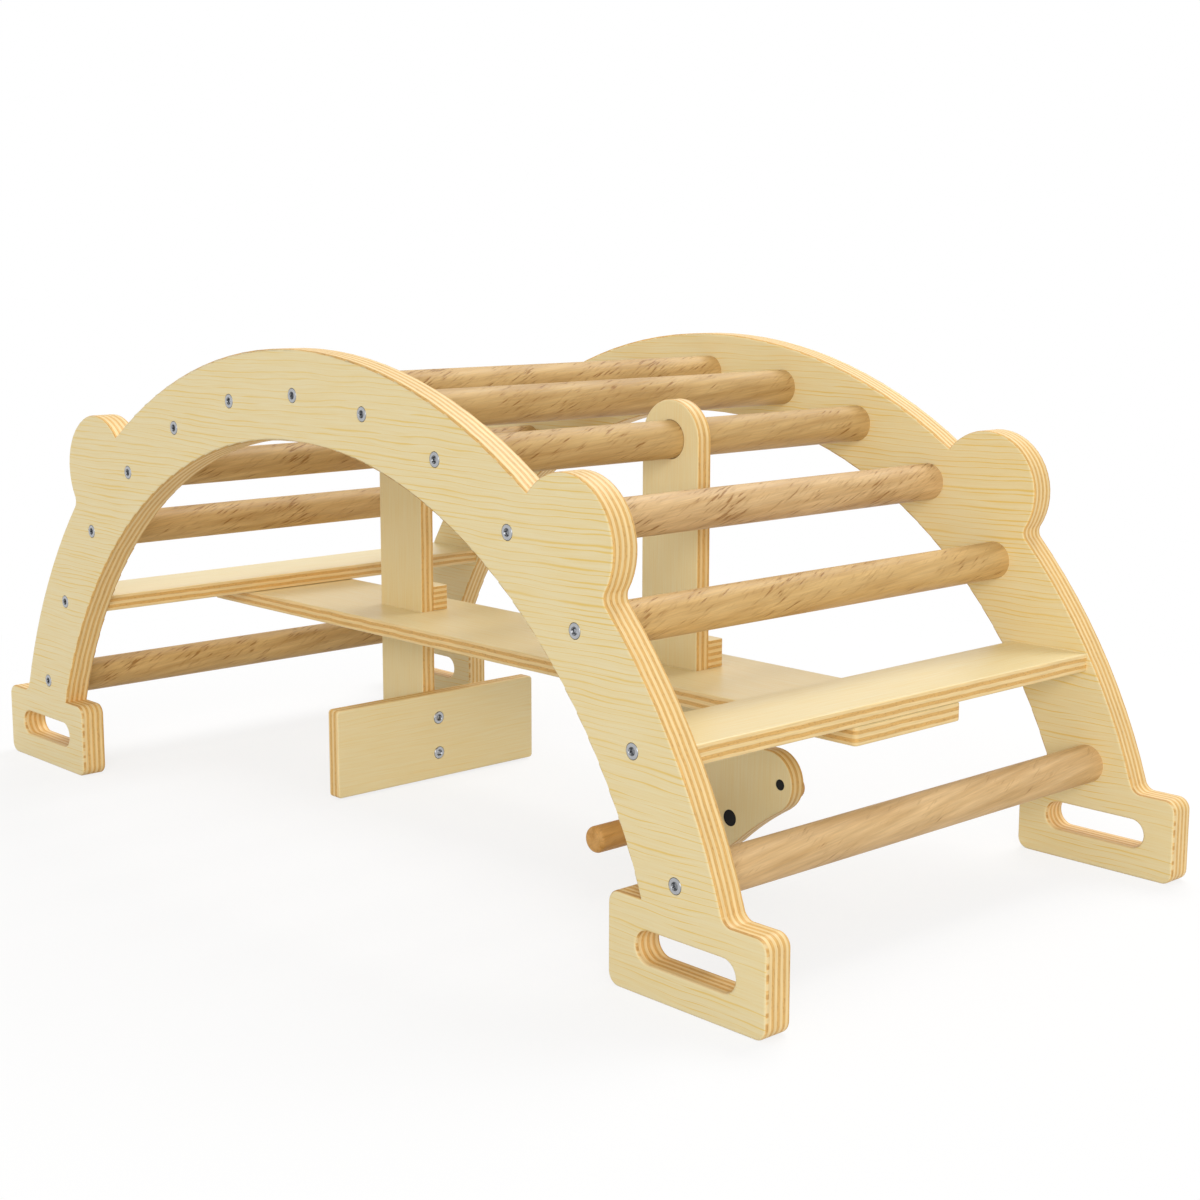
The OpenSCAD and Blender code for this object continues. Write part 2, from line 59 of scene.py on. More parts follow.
# Each plywood board: its grain's direction, the direction across it on the face, the direction
# through its layers, and the name of the sheet that it is cut from
BOARDS = {
    "side_panel_front": ("X", "Z", "Y", "panel"),
    "side_panel_back": ("X", "Z", "Y", "panel"),
    "step_board_left": ("Y", "X", "Z", "board"),
    "step_board_right": ("Y", "X", "Z", "board"),
    "seat_plank": ("X", "Y", "Z", "board"),
    "backrest_upright": ("Z", "X", "Y", "upright"),
    "head_upright": ("Z", "X", "Y", "upright"),
    "backrest_board": ("Y", "Z", "X", "board"),
    "backrest_cleat": ("X", "Y", "Z", "cleat"),
    "head_cleat": ("X", "Y", "Z", "cleat"),
}

# What sets each sheet apart: strength of its grain lines, how far they wander and ripple in
# millimetres, and on the side panels the bolder, closer lines half-way up and the notches in the feet
SHEETS = {
    "panel": {
        "Grain": 1.0,
        "Wander": 24.0,
        "Ripple": 3.2,
        "Crowded": 3.0,
        "Bold": 1.0,
        "Notched past": 140.0,
    },
    "board": {"Grain": 0.5, "Outer light": 1.0},
    "upright": {"Grain": 0.15},
    "cleat": {"Grain": 0.6},
}
THICK_SHEETS = ("panel", "cleat")

# Usual size of each figure in plywood, in millimetres along the grain, across it and through it
FIGURE = {
    "wander": (330, 85, 60),
    "ripple": (42, 15, 60),
    "patch": (130, 130, 130),
    "fibre": (45, 1.1, 9),
    "waver": (26, 26, 40),
    "line": (30, 30, 0.7),
    "pore": (3.2, 3.2, 0.6),
}

# Where the side panels' grain changes, in millimetres below half their height, before it wanders:
# the band that extra lines crowd into, the middle of the broader band of bolder lines, and how far
# to either side of that middle these start to weaken and are back to the usual strength
CROWDED_BAND = (-36.0, 34.0)
BOLD_MIDDLE = -45.0
BOLD_HALF = (75.0, 105.0)

# Names under which the bolts' two rows find the material and the tree that they share
PLATING = "Nickel-plated steel"
BOLT_TREE = "Bolts on points"

STEPS = ["step_board_left", "step_board_right"]
RUNGS = ["rung_%02d" % n for n in range(1, 12)]
ROD_FITTINGS = ["handlebar", "step_dowels"]

# Two of the rungs are of paler, less yellow beech than the rest
PALE_RUNGS = ("rung_09", "rung_11")

# Metres of wood between the stretches that neighbouring rods are cut from
ROD_STRETCH = 0.61

# Each rod's share of the usual tone, so that some rods come out darker than others
ROD_TONES = dict(zip(RUNGS, (0.95, 0.96, 0.95, 0.93, 0.96, 0.94, 0.89, 0.90, 1.04, 1.0, 1.06)))
ROD_TONES["handlebar"] = 0.95

# How much more, or less, each rung is flecked than usual, and the handlebar hardly at all
ROD_FLECKS = dict(zip(RUNGS, (0.0, 0.035, 0.02, 0.0, 0.01, 0.02, -0.02, 0.0, 0.04, -0.02, -0.10)))
ROD_FLECKS["handlebar"] = -0.15

# The camera, the lamps and the floor: places in metres, turns in degrees, the lens in millimetres
# and its shift as a share of the picture's width
CAMERA_PLACE = (1.34789, -1.16398, 0.50558)
CAMERA_TURN = (80.5678, -0.0220, 47.6331)
CAMERA_LENS = 59.408
CAMERA_SHIFT = (0.01335, -0.01284)
KEY_PLACE = (-0.5, 2.4, 4.3)
FILL_PLACE = (6.25, -5.44, 2.75)
LAMP_AIM = (0, 0, 0.2)
FLOOR_HALF = 30.0

# Distances from the middle between which the floor's soft shadow fades into plain white
SHADOW_FADE = (0.5, 1.1)


def linear(code):
    """A colour written as an sRGB hex value, as the linear values that Blender works in."""
    parts = [int(code[place : place + 2], 16) / 255 for place in (1, 3, 5)]
    return [c / 12.92 if c <= 0.04045 else ((c + 0.055) / 1.055) ** 2.4 for c in parts] + [1.0]


def hue(code, name, description):
    """A colour property that starts from an sRGB hex value."""
    return FloatVectorProperty(
        name=name, description=description, default=linear(code), subtype="COLOR", size=4, min=0, max=1
    )


def length(size, name, description):
    """A length property that starts from a size in millimetres."""
    return FloatProperty(
        name=name, description=description, default=size * MM, min=0, unit="LENGTH", precision=5
    )


class ArchPlywood(PropertyGroup):
    face: hue("#EDDCAD", "Face veneer", "Colour of the pale face between its grain lines")
    streak: hue("#E8C56C", "Grain lines", "Colour of the yellow grain lines in the face")
    light_ply: hue("#F2D499", "Light layers", "Colour of the pale layers on a cut edge")
    dark_ply: hue("#E2B46A", "Dark layers", "Colour of the orange layers on a cut edge")
    speck: hue("#A8743C", "Pores", "Colour of the open pores on a cut edge")
    streak_pitch: length(5.2, "Grain spacing", "Distance between the grain lines across the face")
    streak_width: length(2.5, "Grain width", "Width of a grain line where it is widest")
    streak_length: length(55, "Grain length", "Usual length of one grain line along the face")
    panel_layers: IntProperty(
        name="Panel layers", description="Layers in the 24 mm side panels", default=9, min=3, max=15
    )
    board_layers: IntProperty(
        name="Board layers", description="Layers in the 15 mm boards", default=5, min=3, max=13
    )


class ArchBeech(PropertyGroup):
    light: hue("#DAB67A", "Light wood", "Colour of the pale bands in the rungs")
    dark: hue("#C19A5F", "Dark wood", "Colour of the darker bands in the rungs")
    pale_light: hue("#DAB886", "Light, paler rung", "Colour of the pale bands in the two palest rungs")
    pale_dark: hue("#C19C69", "Dark, paler rung", "Colour of the darker bands in the two palest rungs")
    bar_light: hue("#EBB66D", "Light handlebar", "Colour of the pale bands in the handlebar")
    bar_dark: hue("#CC9349", "Dark handlebar", "Colour of the darker bands in the handlebar")
    fleck: hue("#8A5A1E", "Ray flecks", "Colour of the short dark flecks")
    fleck_length: length(16, "Fleck length", "Usual distance between flecks along their run")
    fleck_width: length(1.9, "Fleck width", "Usual distance between flecks side by side")
    fleck_slope: FloatProperty(
        name="Fleck slope",
        description="Rise of the flecks across the rod for each unit along it",
        default=0.45,
    )
    band_length: length(90, "Band length", "Usual length of a paler or darker band")
    band_gap: length(7, "Band spacing", "Usual distance between the bands")
    grain_slope: FloatProperty(
        name="Grain slope",
        description="Rise of the bands across the rod for each unit along it",
        default=0.10,
    )
    rod_r: length(16, "Rung radius", "Radius at which the slopes are measured")


class ArchBolts(PropertyGroup):
    metal: hue("#B7B9BC", "Plating", "Colour of the bolts' nickel plating")
    head_d: length(12, "Head diameter", "Diameter of a bolt's round head")
    head_h: length(4.4, "Head height", "Height of a bolt's head")
    rim_r: length(1.1, "Rim radius", "Rounding of the head's rim")
    proud: length(0.4, "Stand-out", "How far the head stands out of the wood")
    shank_d: length(6, "Shank diameter", "Diameter of the threaded shank")
    socket_w: length(5, "Socket width", "Width of the hexagon socket across its flats")
    socket_h: length(3, "Socket depth", "Depth of the hexagon socket")
    rung_l: length(34, "Rung bolt shank", "Length of the shank of a rung's bolt")
    step_l: length(50, "Step bolt shank", "Length of the shank of a step board's bolt")
    backrest_l: length(41, "Backrest bolt shank", "Length of the shank of a backrest bolt")
    backrest_gap: length(35, "Backrest bolt gap", "Distance between the backrest's two bolts")
    turn_seed: IntProperty(
        name="Turn seed", description="Sets how far each bolt happens to be turned", default=4, min=0
    )


class ArchStudio(PropertyGroup):
    floor: hue("#F7F6F5", "Floor", "Colour of the floor as it is seen")
    bounce: hue("#D3D2D0", "Floor's light", "Colour of the light that the floor gives back")
    key_power: FloatProperty(
        name="Key light", description="Power of the soft lamp above", default=125, min=0, unit="POWER"
    )
    key_size: length(2600, "Key size", "Side of the soft lamp above")
    fill_power: FloatProperty(
        name="Fill light", description="Power of the soft lamp in front", default=365, min=0, unit="POWER"
    )
    fill_size: length(4500, "Fill size", "Side of the soft lamp in front")
    sky: FloatProperty(
        name="Room light", description="Strength of the even light from all round", default=0.55, min=0
    )
    white_floor: FloatProperty(
        name="White floor",
        description="Share of the floor's white that no shadow darkens",
        default=0.8,
        min=0,
        max=1,
    )


def add(tree, kind, links=None, **settings):
    """Adds a node to a tree with its settings and its links or values, and returns its outputs."""
    node = tree.nodes.new(kind)
    count = len(tree.nodes)
    node.location = (190 * (count // 9), -230 * (count % 9))
    for name, value in settings.items():
        setattr(node, name, value)
    for place, value in (links or {}).items():
        if isinstance(value, bpy.types.NodeSocket):
            tree.links.new(value, node.inputs[place])
        else:
            node.inputs[place].default_value = value
    return node.outputs


def new_group(name, kind, inputs, outputs):
    """Starts a node group with named sockets, and returns it with its input sockets."""
    group = bpy.data.node_groups.new(name, kind)
    for side, sockets in (("INPUT", inputs), ("OUTPUT", outputs)):
        for label, (socket, value) in sockets.items():
            made = group.interface.new_socket(label, in_out=side, socket_type="NodeSocket" + socket)
            if value is not None:
                made.default_value = value
    return group, add(group, "NodeGroupInput")


def new_material(name, shader):
    """Starts a material whose shader has these constant values, and returns it with the shader node."""
    material = bpy.data.materials.new(name)
    material.use_nodes = True
    node = material.node_tree.nodes["Principled BSDF"]
    for label, value in shader.items():
        node.inputs[label].default_value = value
    return material, material.node_tree, node


def wear(names, material):
    """Gives a material to the CAD nodes of these names."""
    for name in names:
        for place in NODES[name].material_slots:
            place.material = material


def streaks(tree, place, sizes, detail):
    """A figure in the wood, from 0 to 1, whose usual size along each axis is given in millimetres."""
    shrunk = add(
        tree,
        "ShaderNodeVectorMath",
        {0: place, 1: [1 / size for size in sizes]},
        operation="MULTIPLY",
    )
    return add(
        tree, "ShaderNodeTexNoise", {"Vector": shrunk[0], "Scale": 1.0, "Detail": detail}
    )[0]


def finish_shader(tree, shader, colour, rough, height, strength, depth):
    """Links a colour, a roughness and a relief of this depth in millimetres to a material's shader."""
    bump = add(
        tree, "ShaderNodeBump", {"Height": height, "Strength": strength, "Distance": depth * MM}
    )
    tree.links.new(colour, shader.inputs["Base Color"])
    tree.links.new(rough, shader.inputs["Roughness"])
    tree.links.new(bump[0], shader.inputs["Normal"])


def plywood_group(looks):
    """Solid plywood, cut anywhere: face veneer, layers, pores, and notches where grain lines end.

    Place is in millimetres from the board's middle: X along the grain, Y across it, Z through it.
    """
    group, given = new_group(
        "Birch plywood",
        "ShaderNodeTree",
        {
            "Place": ("Vector", None),
            "Thickness": ("Float", 24.0),
            "Layers": ("Float", 9.0),
            "Outer light": ("Float", 0.0),
            "Notched past": ("Float", 1000.0),
            "Grain": ("Float", 1.0),
            "Wander": ("Float", 14.0),
            "Ripple": ("Float", 2.5),
            "Crowded": ("Float", 0.0),
            "Bold": ("Float", 0.0),
            "Face": ("Color", looks.face),
            "Streak": ("Color", looks.streak),
            "Light": ("Color", looks.light_ply),
            "Dark": ("Color", looks.dark_ply),
            "Speck": ("Color", looks.speck),
        },
        {"Colour": ("Color", None), "Roughness": ("Float", None), "Height": ("Float", None)},
    )
    place = given["Place"]
    along, across, depth = add(group, "ShaderNodeSeparateXYZ", {0: place})[:]

    # The face's grain wanders to either side over a hand's length, and ripples over a finger's
    shift = across
    for figure, detail, reach in (("wander", 2.0, "Wander"), ("ripple", 1.0, "Ripple")):
        bend = streaks(group, place, FIGURE[figure], detail)
        shift = add(
            group, "ShaderNodeMath", {0: bend, 1: given[reach], 2: shift}, operation="MULTIPLY_ADD"
        )[0]

    # The narrow rings of a few dry years crowd extra grain lines into a band across the middle
    start, end = CROWDED_BAND
    narrow = add(
        group, "ShaderNodeMapRange", {0: shift, 1: start, 2: end, 3: 0.0, 4: given["Crowded"]}
    )
    ring = add(
        group, "ShaderNodeMath", {0: shift, 1: looks.streak_pitch / MM}, operation="DIVIDE"
    )
    ring = add(group, "ShaderNodeMath", {0: ring[0], 1: narrow[0]}, operation="ADD")
    ring_number = add(group, "ShaderNodeMath", {0: ring[0]}, operation="FLOOR")
    ring_part = add(group, "ShaderNodeMath", {0: ring[0]}, operation="FRACT")
    chance = add(
        group, "ShaderNodeTexWhiteNoise", {"W": ring_number[0]}, noise_dimensions="1D"
    )

    # Each grain line is broken into tapering pieces, and is stronger in some rings than in others.
    # Neighbouring lines are this far apart in the noise that breaks them, so that no two break alike
    row_gap = 3.71
    run = add(
        group, "ShaderNodeMath", {0: along, 1: looks.streak_length / MM}, operation="DIVIDE"
    )
    row = add(group, "ShaderNodeMath", {0: ring_number[0], 1: row_gap}, operation="MULTIPLY")
    piece_place = add(group, "ShaderNodeCombineXYZ", {0: run[0], 1: row[0]})
    piece = add(
        group, "ShaderNodeTexNoise", {"Vector": piece_place[0], "Scale": 1.0, "Detail": 1.0}
    )
    taper = add(group, "ShaderNodeMapRange", {0: piece[0], 1: 0.36, 2: 0.62})
    vary = add(group, "ShaderNodeMapRange", {0: chance[0], 3: 0.35, 4: 1.0})

    # Between the ears and the step boards the lines are bolder and longer
    off_band = add(group, "ShaderNodeMath", {0: shift, 1: BOLD_MIDDLE}, operation="SUBTRACT")
    off_band = add(group, "ShaderNodeMath", {0: off_band[0]}, operation="ABSOLUTE")
    near, far = BOLD_HALF
    bold = add(
        group, "ShaderNodeMapRange", {0: off_band[0], 1: near, 2: far, 3: given["Bold"], 4: 0.0}
    )
    least = add(group, "ShaderNodeMath", {0: bold[0], 1: 0.6}, operation="MULTIPLY")
    vary = add(group, "ShaderNodeMath", {0: vary[0], 1: least[0]}, operation="MAXIMUM")
    least = add(group, "ShaderNodeMath", {0: bold[0], 1: 0.4}, operation="MULTIPLY")
    taper = add(group, "ShaderNodeMath", {0: taper[0], 1: least[0]}, operation="MAXIMUM")

    # A line is darkest at its core, and some parts of a board show the lines less than others
    reach = 0.5 * looks.streak_width / looks.streak_pitch
    reach = add(group, "ShaderNodeMapRange", {0: bold[0], 3: reach, 4: 1.4 * reach})
    half = add(group, "ShaderNodeMath", {0: taper[0], 1: vary[0]}, operation="MULTIPLY")
    half = add(group, "ShaderNodeMath", {0: half[0], 1: reach[0]}, operation="MULTIPLY")
    middle = add(group, "ShaderNodeMapRange", {0: chance[0], 3: 0.25, 4: 0.75})
    off = add(group, "ShaderNodeMath", {0: ring_part[0], 1: middle[0]}, operation="SUBTRACT")
    off = add(group, "ShaderNodeMath", {0: off[0]}, operation="ABSOLUTE")
    core = add(group, "ShaderNodeMath", {0: half[0], 1: 0.15}, operation="MULTIPLY")
    streak = add(group, "ShaderNodeMapRange", {0: off[0], 1: half[0], 2: core[0]})
    patch = streaks(group, place, FIGURE["patch"], 1.0)
    patch = add(group, "ShaderNodeMapRange", {0: patch, 1: 0.38, 2: 0.62, 3: 0.65, 4: 1.0})
    for share in (patch[0], given["Grain"]):
        streak = add(group, "ShaderNodeMath", {0: streak[0], 1: share}, operation="MULTIPLY")

    # Fine fibres lie along the grain, about a millimetre apart so that they show
    bent = add(group, "ShaderNodeCombineXYZ", {0: along, 1: shift, 2: depth})
    fibre = streaks(group, bent[0], FIGURE["fibre"], 2.0)
    fibre_tone = add(group, "ShaderNodeMapRange", {0: fibre, 1: 0.35, 2: 0.70, 3: 0.0, 4: 0.30})
    tint = add(group, "ShaderNodeMath", {0: fibre_tone[0], 1: streak[0]}, operation="MAXIMUM")
    face = add(
        group,
        "ShaderNodeMix",
        {0: tint[0], 6: given["Face"], 7: given["Streak"]},
        data_type="RGBA",
    )[2]

    # A cut edge: light and dark layers in turn, with lines inside them that waver along the edge
    waver = streaks(group, place, FIGURE["waver"], 2.0)
    waver = add(group, "ShaderNodeMapRange", {0: waver, 3: -0.30, 4: 0.30})
    part = add(group, "ShaderNodeMath", {0: depth, 1: given["Thickness"]}, operation="DIVIDE")
    part = add(group, "ShaderNodeMath", {0: part[0], 1: 0.5}, operation="ADD")
    layer = add(
        group,
        "ShaderNodeMath",
        {0: part[0], 1: given["Layers"], 2: waver[0]},
        operation="MULTIPLY_ADD",
    )
    turn = add(
        group, "ShaderNodeMath", {0: layer[0], 1: math.pi, 2: -math.pi / 2}, operation="MULTIPLY_ADD"
    )
    swing = add(group, "ShaderNodeMath", {0: turn[0]}, operation="COSINE")
    odd = add(
        group,
        "ShaderNodeMapRange",
        {0: swing[0], 1: -0.45, 2: 0.45},
        interpolation_type="SMOOTHSTEP",
    )
    even = add(group, "ShaderNodeMath", {0: 1.0, 1: odd[0]}, operation="SUBTRACT")
    dark = add(group, "ShaderNodeMix", {0: given["Outer light"], 2: odd[0], 3: even[0]})[0]
    edge = add(
        group,
        "ShaderNodeMix",
        {0: dark, 6: given["Light"], 7: given["Dark"]},
        data_type="RGBA",
    )[2]
    line = streaks(group, place, FIGURE["line"], 2.0)
    line_tone = add(group, "ShaderNodeMapRange", {0: line, 1: 0.3, 2: 0.7, 3: 0.86, 4: 1.07})
    edge = add(group, "ShaderNodeVectorMath", {0: edge, 3: line_tone[0]}, operation="SCALE")[0]

    # Open pores, only in the layers that are cut across their grain
    pore = streaks(group, place, FIGURE["pore"], 1.0)
    pore = add(group, "ShaderNodeMapRange", {0: pore, 1: 0.56, 2: 0.68, 3: 0.0, 4: 0.45})
    pore = add(group, "ShaderNodeMath", {0: pore[0], 1: dark}, operation="MULTIPLY")
    edge = add(
        group, "ShaderNodeMix", {0: pore[0], 6: edge, 7: given["Speck"]}, data_type="RGBA"
    )[2]

    # The front layer's own grain lines end on a foot's upright edge as pale and brown notches,
    # some 7 mm apart
    notch_gap = 7
    half_board = add(
        group, "ShaderNodeMath", {0: given["Thickness"], 1: 0.5}, operation="MULTIPLY"
    )
    one_layer = add(
        group, "ShaderNodeMath", {0: given["Thickness"], 1: given["Layers"]}, operation="DIVIDE"
    )
    from_front = add(group, "ShaderNodeMath", {0: half_board[0], 1: depth}, operation="ADD")
    outer = add(
        group, "ShaderNodeMath", {0: from_front[0], 1: one_layer[0]}, operation="LESS_THAN"
    )
    in_foot = add(
        group, "ShaderNodeMath", {0: across, 1: given["Notched past"]}, operation="GREATER_THAN"
    )
    outer = add(group, "ShaderNodeMath", {0: outer[0], 1: in_foot[0]}, operation="MULTIPLY")
    notch = add(
        group,
        "ShaderNodeTexNoise",
        {"W": shift, "Scale": 1 / notch_gap, "Detail": 1.0},
        noise_dimensions="1D",
    )
    for start, end, most, colour in ((0.48, 0.56, 0.6, "Face"), (0.48, 0.42, 0.4, "Speck")):
        mark = add(group, "ShaderNodeMapRange", {0: notch[0], 1: start, 2: end, 3: 0.0, 4: most})
        mark = add(group, "ShaderNodeMath", {0: mark[0], 1: outer[0]}, operation="MULTIPLY")
        edge = add(
            group, "ShaderNodeMix", {0: mark[0], 6: edge, 7: given[colour]}, data_type="RGBA"
        )[2]

    # The face veneer reaches a third of a millimetre in, so that it ends half-way round the edge
    from_middle = add(group, "ShaderNodeMath", {0: depth}, operation="ABSOLUTE")
    under = add(
        group, "ShaderNodeMath", {0: half_board[0], 1: from_middle[0]}, operation="SUBTRACT"
    )
    veneer = add(
        group,
        "ShaderNodeMapRange",
        {0: under[0], 1: 0.75, 2: 0.30},
        interpolation_type="SMOOTHSTEP",
    )
    colour = add(group, "ShaderNodeMix", {0: veneer[0], 6: edge, 7: face}, data_type="RGBA")[2]
    face_rough = add(group, "ShaderNodeMapRange", {0: fibre, 1: 0.3, 2: 0.7, 3: 0.32, 4: 0.42})
    rough = add(group, "ShaderNodeMix", {0: veneer[0], 2: 0.5, 3: face_rough[0]})[0]
    relief = add(group, "ShaderNodeMix", {0: veneer[0], 2: line, 3: fibre})[0]
    add(group, "NodeGroupOutput", {"Colour": colour, "Roughness": rough, "Height": relief})
    return group


def beech_group(looks):
    """Solid beech, cut anywhere: long soft bands, fine fibres and slender dark ray flecks.

    Place is in millimetres from the rod's middle, with Y along the rod.
    """
    group, given = new_group(
        "Beech",
        "ShaderNodeTree",
        {
            "Place": ("Vector", None),
            "Light": ("Color", looks.light),
            "Dark": ("Color", looks.dark),
            "Fleck": ("Color", looks.fleck),
            "Tone": ("Float", 1.0),
            "Flecked": ("Float", 0.0),
        },
        {"Colour": ("Color", None), "Roughness": ("Float", None), "Height": ("Float", None)},
    )
    along = add(group, "ShaderNodeSeparateXYZ", {0: given["Place"]})["Y"]

    def wound(slope, run, gap, detail):
        """Streaks this long and this far apart, wound round the rod to climb at this slope."""
        angle = add(
            group, "ShaderNodeMath", {0: along, 1: slope * MM / looks.rod_r}, operation="MULTIPLY"
        )
        turned = add(
            group,
            "ShaderNodeVectorRotate",
            {"Vector": given["Place"], "Angle": angle[0]},
            rotation_type="Y_AXIS",
        )
        return streaks(group, turned[0], (gap, run, gap), detail)

    # Bands of paler and darker wood climb a little, as a rod is seldom sawn quite along the grain
    band = wound(looks.grain_slope, looks.band_length / MM, looks.band_gap / MM, 2.0)
    tone = add(group, "ShaderNodeMapRange", {0: band, 1: 0.3, 2: 0.7})
    colour = add(
        group,
        "ShaderNodeMix",
        {0: tone[0], 6: given["Light"], 7: given["Dark"]},
        data_type="RGBA",
    )[2]

    # Fibres are finer than a pixel, and are drawn about a millimetre apart to show
    fibre = wound(looks.grain_slope, 26, 1.1, 2.0)
    fibre_tone = add(group, "ShaderNodeMapRange", {0: fibre, 1: 0.3, 2: 0.7, 3: 0.9, 4: 1.07})
    fibre_tone = add(
        group, "ShaderNodeMath", {0: fibre_tone[0], 1: given["Tone"]}, operation="MULTIPLY"
    )
    colour = add(
        group, "ShaderNodeVectorMath", {0: colour, 3: fibre_tone[0]}, operation="SCALE"
    )[0]

    # Ray flecks lean across the rod in crowds, each a crisp dark core in a soft brown streak
    crowd_size = 48
    crowd = streaks(group, given["Place"], [crowd_size] * 3, 1.0)
    crowd = add(group, "ShaderNodeMapRange", {0: crowd, 1: 0.42, 2: 0.64, 3: -0.02, 4: 0.12})
    crowd = add(group, "ShaderNodeMath", {0: crowd[0], 1: given["Flecked"]}, operation="ADD")
    fleck = wound(looks.fleck_slope, looks.fleck_length / MM, looks.fleck_width / MM, 1.0)
    fleck = add(group, "ShaderNodeMath", {0: fleck, 1: crowd[0]}, operation="ADD")
    soft = add(group, "ShaderNodeMapRange", {0: fleck[0], 1: 0.58, 2: 0.74, 3: 0.0, 4: 0.28})
    crisp = add(group, "ShaderNodeMapRange", {0: fleck[0], 1: 0.70, 2: 0.80, 3: 0.0, 4: 0.75})
    fleck = add(group, "ShaderNodeMath", {0: soft[0], 1: crisp[0]}, operation="MAXIMUM")
    colour = add(
        group,
        "ShaderNodeMix",
        {0: fleck[0], 6: colour, 7: given["Fleck"]},
        data_type="RGBA",
    )[2]

    # The flecks are torn out a little by turning, so they lie lower than the fibres round them
    relief = add(
        group, "ShaderNodeMath", {0: fleck[0], 1: -2.0, 2: fibre}, operation="MULTIPLY_ADD"
    )
    rough = add(group, "ShaderNodeMapRange", {0: fibre, 1: 0.3, 2: 0.7, 3: 0.46, 4: 0.58})
    add(group, "NodeGroupOutput", {"Colour": colour, "Roughness": rough[0], "Height": relief[0]})
    return group


def board_turn(along, across, through):
    """The turn that brings a board's grain to X, the direction across it to Y and its layers to Z."""
    rows = Matrix([[float(axis == letter) for axis in "XYZ"] for letter in (along, across, through)])
    if rows.determinant() < 0:
        rows[1] = -rows[1]
    return rows


class ARCH_OT_plywood(Operator):
    """Finish the ten plywood boards: clear satin varnish over birch veneer, with bare layered edges"""

    bl_idname = "arch.plywood"
    bl_label = "Plywood boards"

    def execute(self, context):
        looks = context.scene.arch_plywood
        group = plywood_group(looks)
        for name, (along, across, through, sheet) in BOARDS.items():
            low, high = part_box(name)
            turn = board_turn(along, across, through)
            # Satin varnish gives a soft sheen on the face, and none of the wood's colour is lost
            material, tree, shader = new_material(
                "Birch plywood, satin varnish, " + name, {"Specular IOR Level": 0.35}
            )
            where = add(tree, "ShaderNodeTexCoord")["Object"]
            place = add(
                tree,
                "ShaderNodeMapping",
                {
                    "Vector": where,
                    "Location": -(turn @ ((low + high) / 2) / MM),
                    "Rotation": turn.to_euler(),
                    "Scale": (1 / MM, 1 / MM, 1 / MM),
                },
            )
            wood = add(tree, "ShaderNodeGroup", node_tree=group)
            values = {
                "Thickness": (high - low)["XYZ".index(through)] / MM,
                "Layers": looks.panel_layers if sheet in THICK_SHEETS else looks.board_layers,
                **SHEETS[sheet],
            }
            cutting = wood["Colour"].node
            tree.links.new(place[0], cutting.inputs["Place"])
            for label, value in values.items():
                cutting.inputs[label].default_value = value
            skin = (wood["Colour"], wood["Roughness"], wood["Height"])
            finish_shader(tree, shader, *skin, strength=0.25, depth=0.15)
            wear([name], material)
        return {"FINISHED"}


class ARCH_OT_beech(Operator):
    """Finish the turned rungs, the handlebar and the locating dowels: oiled beech"""

    bl_idname = "arch.beech"
    bl_label = "Rungs and handlebar"

    def execute(self, context):
        looks = context.scene.arch_beech
        group = beech_group(looks)
        for number, name in enumerate(RUNGS + ROD_FITTINGS):
            low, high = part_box(name)
            # Turned and oiled beech: warm bands and dark flecks, with hardly any sheen
            material, tree, shader = new_material(
                "Beech, turned and oiled, " + name, {"Specular IOR Level": 0.3}
            )
            where = add(tree, "ShaderNodeTexCoord")["Object"]
            # Each rod is cut from another stretch of wood, so no two show the same figure
            start = (low + high) / 2 + Vector((0, ROD_STRETCH * number, 0))
            offset = add(tree, "ShaderNodeVectorMath", {0: where, 1: start}, operation="SUBTRACT")
            place = add(tree, "ShaderNodeVectorMath", {0: offset[0], 3: 1 / MM}, operation="SCALE")
            wood = add(tree, "ShaderNodeGroup", node_tree=group)
            values = {"Tone": ROD_TONES.get(name, 1.0), "Flecked": ROD_FLECKS.get(name, 0.0)}
            if name in PALE_RUNGS:
                values.update({"Light": looks.pale_light, "Dark": looks.pale_dark})
            if name == "handlebar":
                values.update({"Light": looks.bar_light, "Dark": looks.bar_dark})
            cutting = wood["Colour"].node
            tree.links.new(place[0], cutting.inputs["Place"])
            for label, value in values.items():
                cutting.inputs[label].default_value = value
            skin = (wood["Colour"], wood["Roughness"], wood["Height"])
            finish_shader(tree, shader, *skin, strength=0.5, depth=0.3)
            wear([name], material)
        return {"FINISHED"}


def plated(name, colour, roughness, grain):
    """A plated or bare metal with fine marks of this spacing in its roughness and relief."""
    material, tree, shader = new_material(name, {"Metallic": 1.0, "Base Color": colour})
    where = add(tree, "ShaderNodeTexCoord")["Object"]
    marks = add(tree, "ShaderNodeTexNoise", {"Vector": where, "Scale": 1 / grain, "Detail": 3.0})
    tone = add(tree, "ShaderNodeMapRange", {0: marks[0], 1: 0.3, 2: 0.7, 3: 0.82, 4: 1.0})
    shade = add(tree, "ShaderNodeVectorMath", {0: colour[:3], 3: tone[0]}, operation="SCALE")
    rough = add(
        tree,
        "ShaderNodeMapRange",
        {0: marks[0], 1: 0.3, 2: 0.7, 3: roughness - 0.06, 4: roughness + 0.06},
    )
    finish_shader(tree, shader, shade[0], rough[0], marks[0], strength=0.2, depth=0.05)
    return material


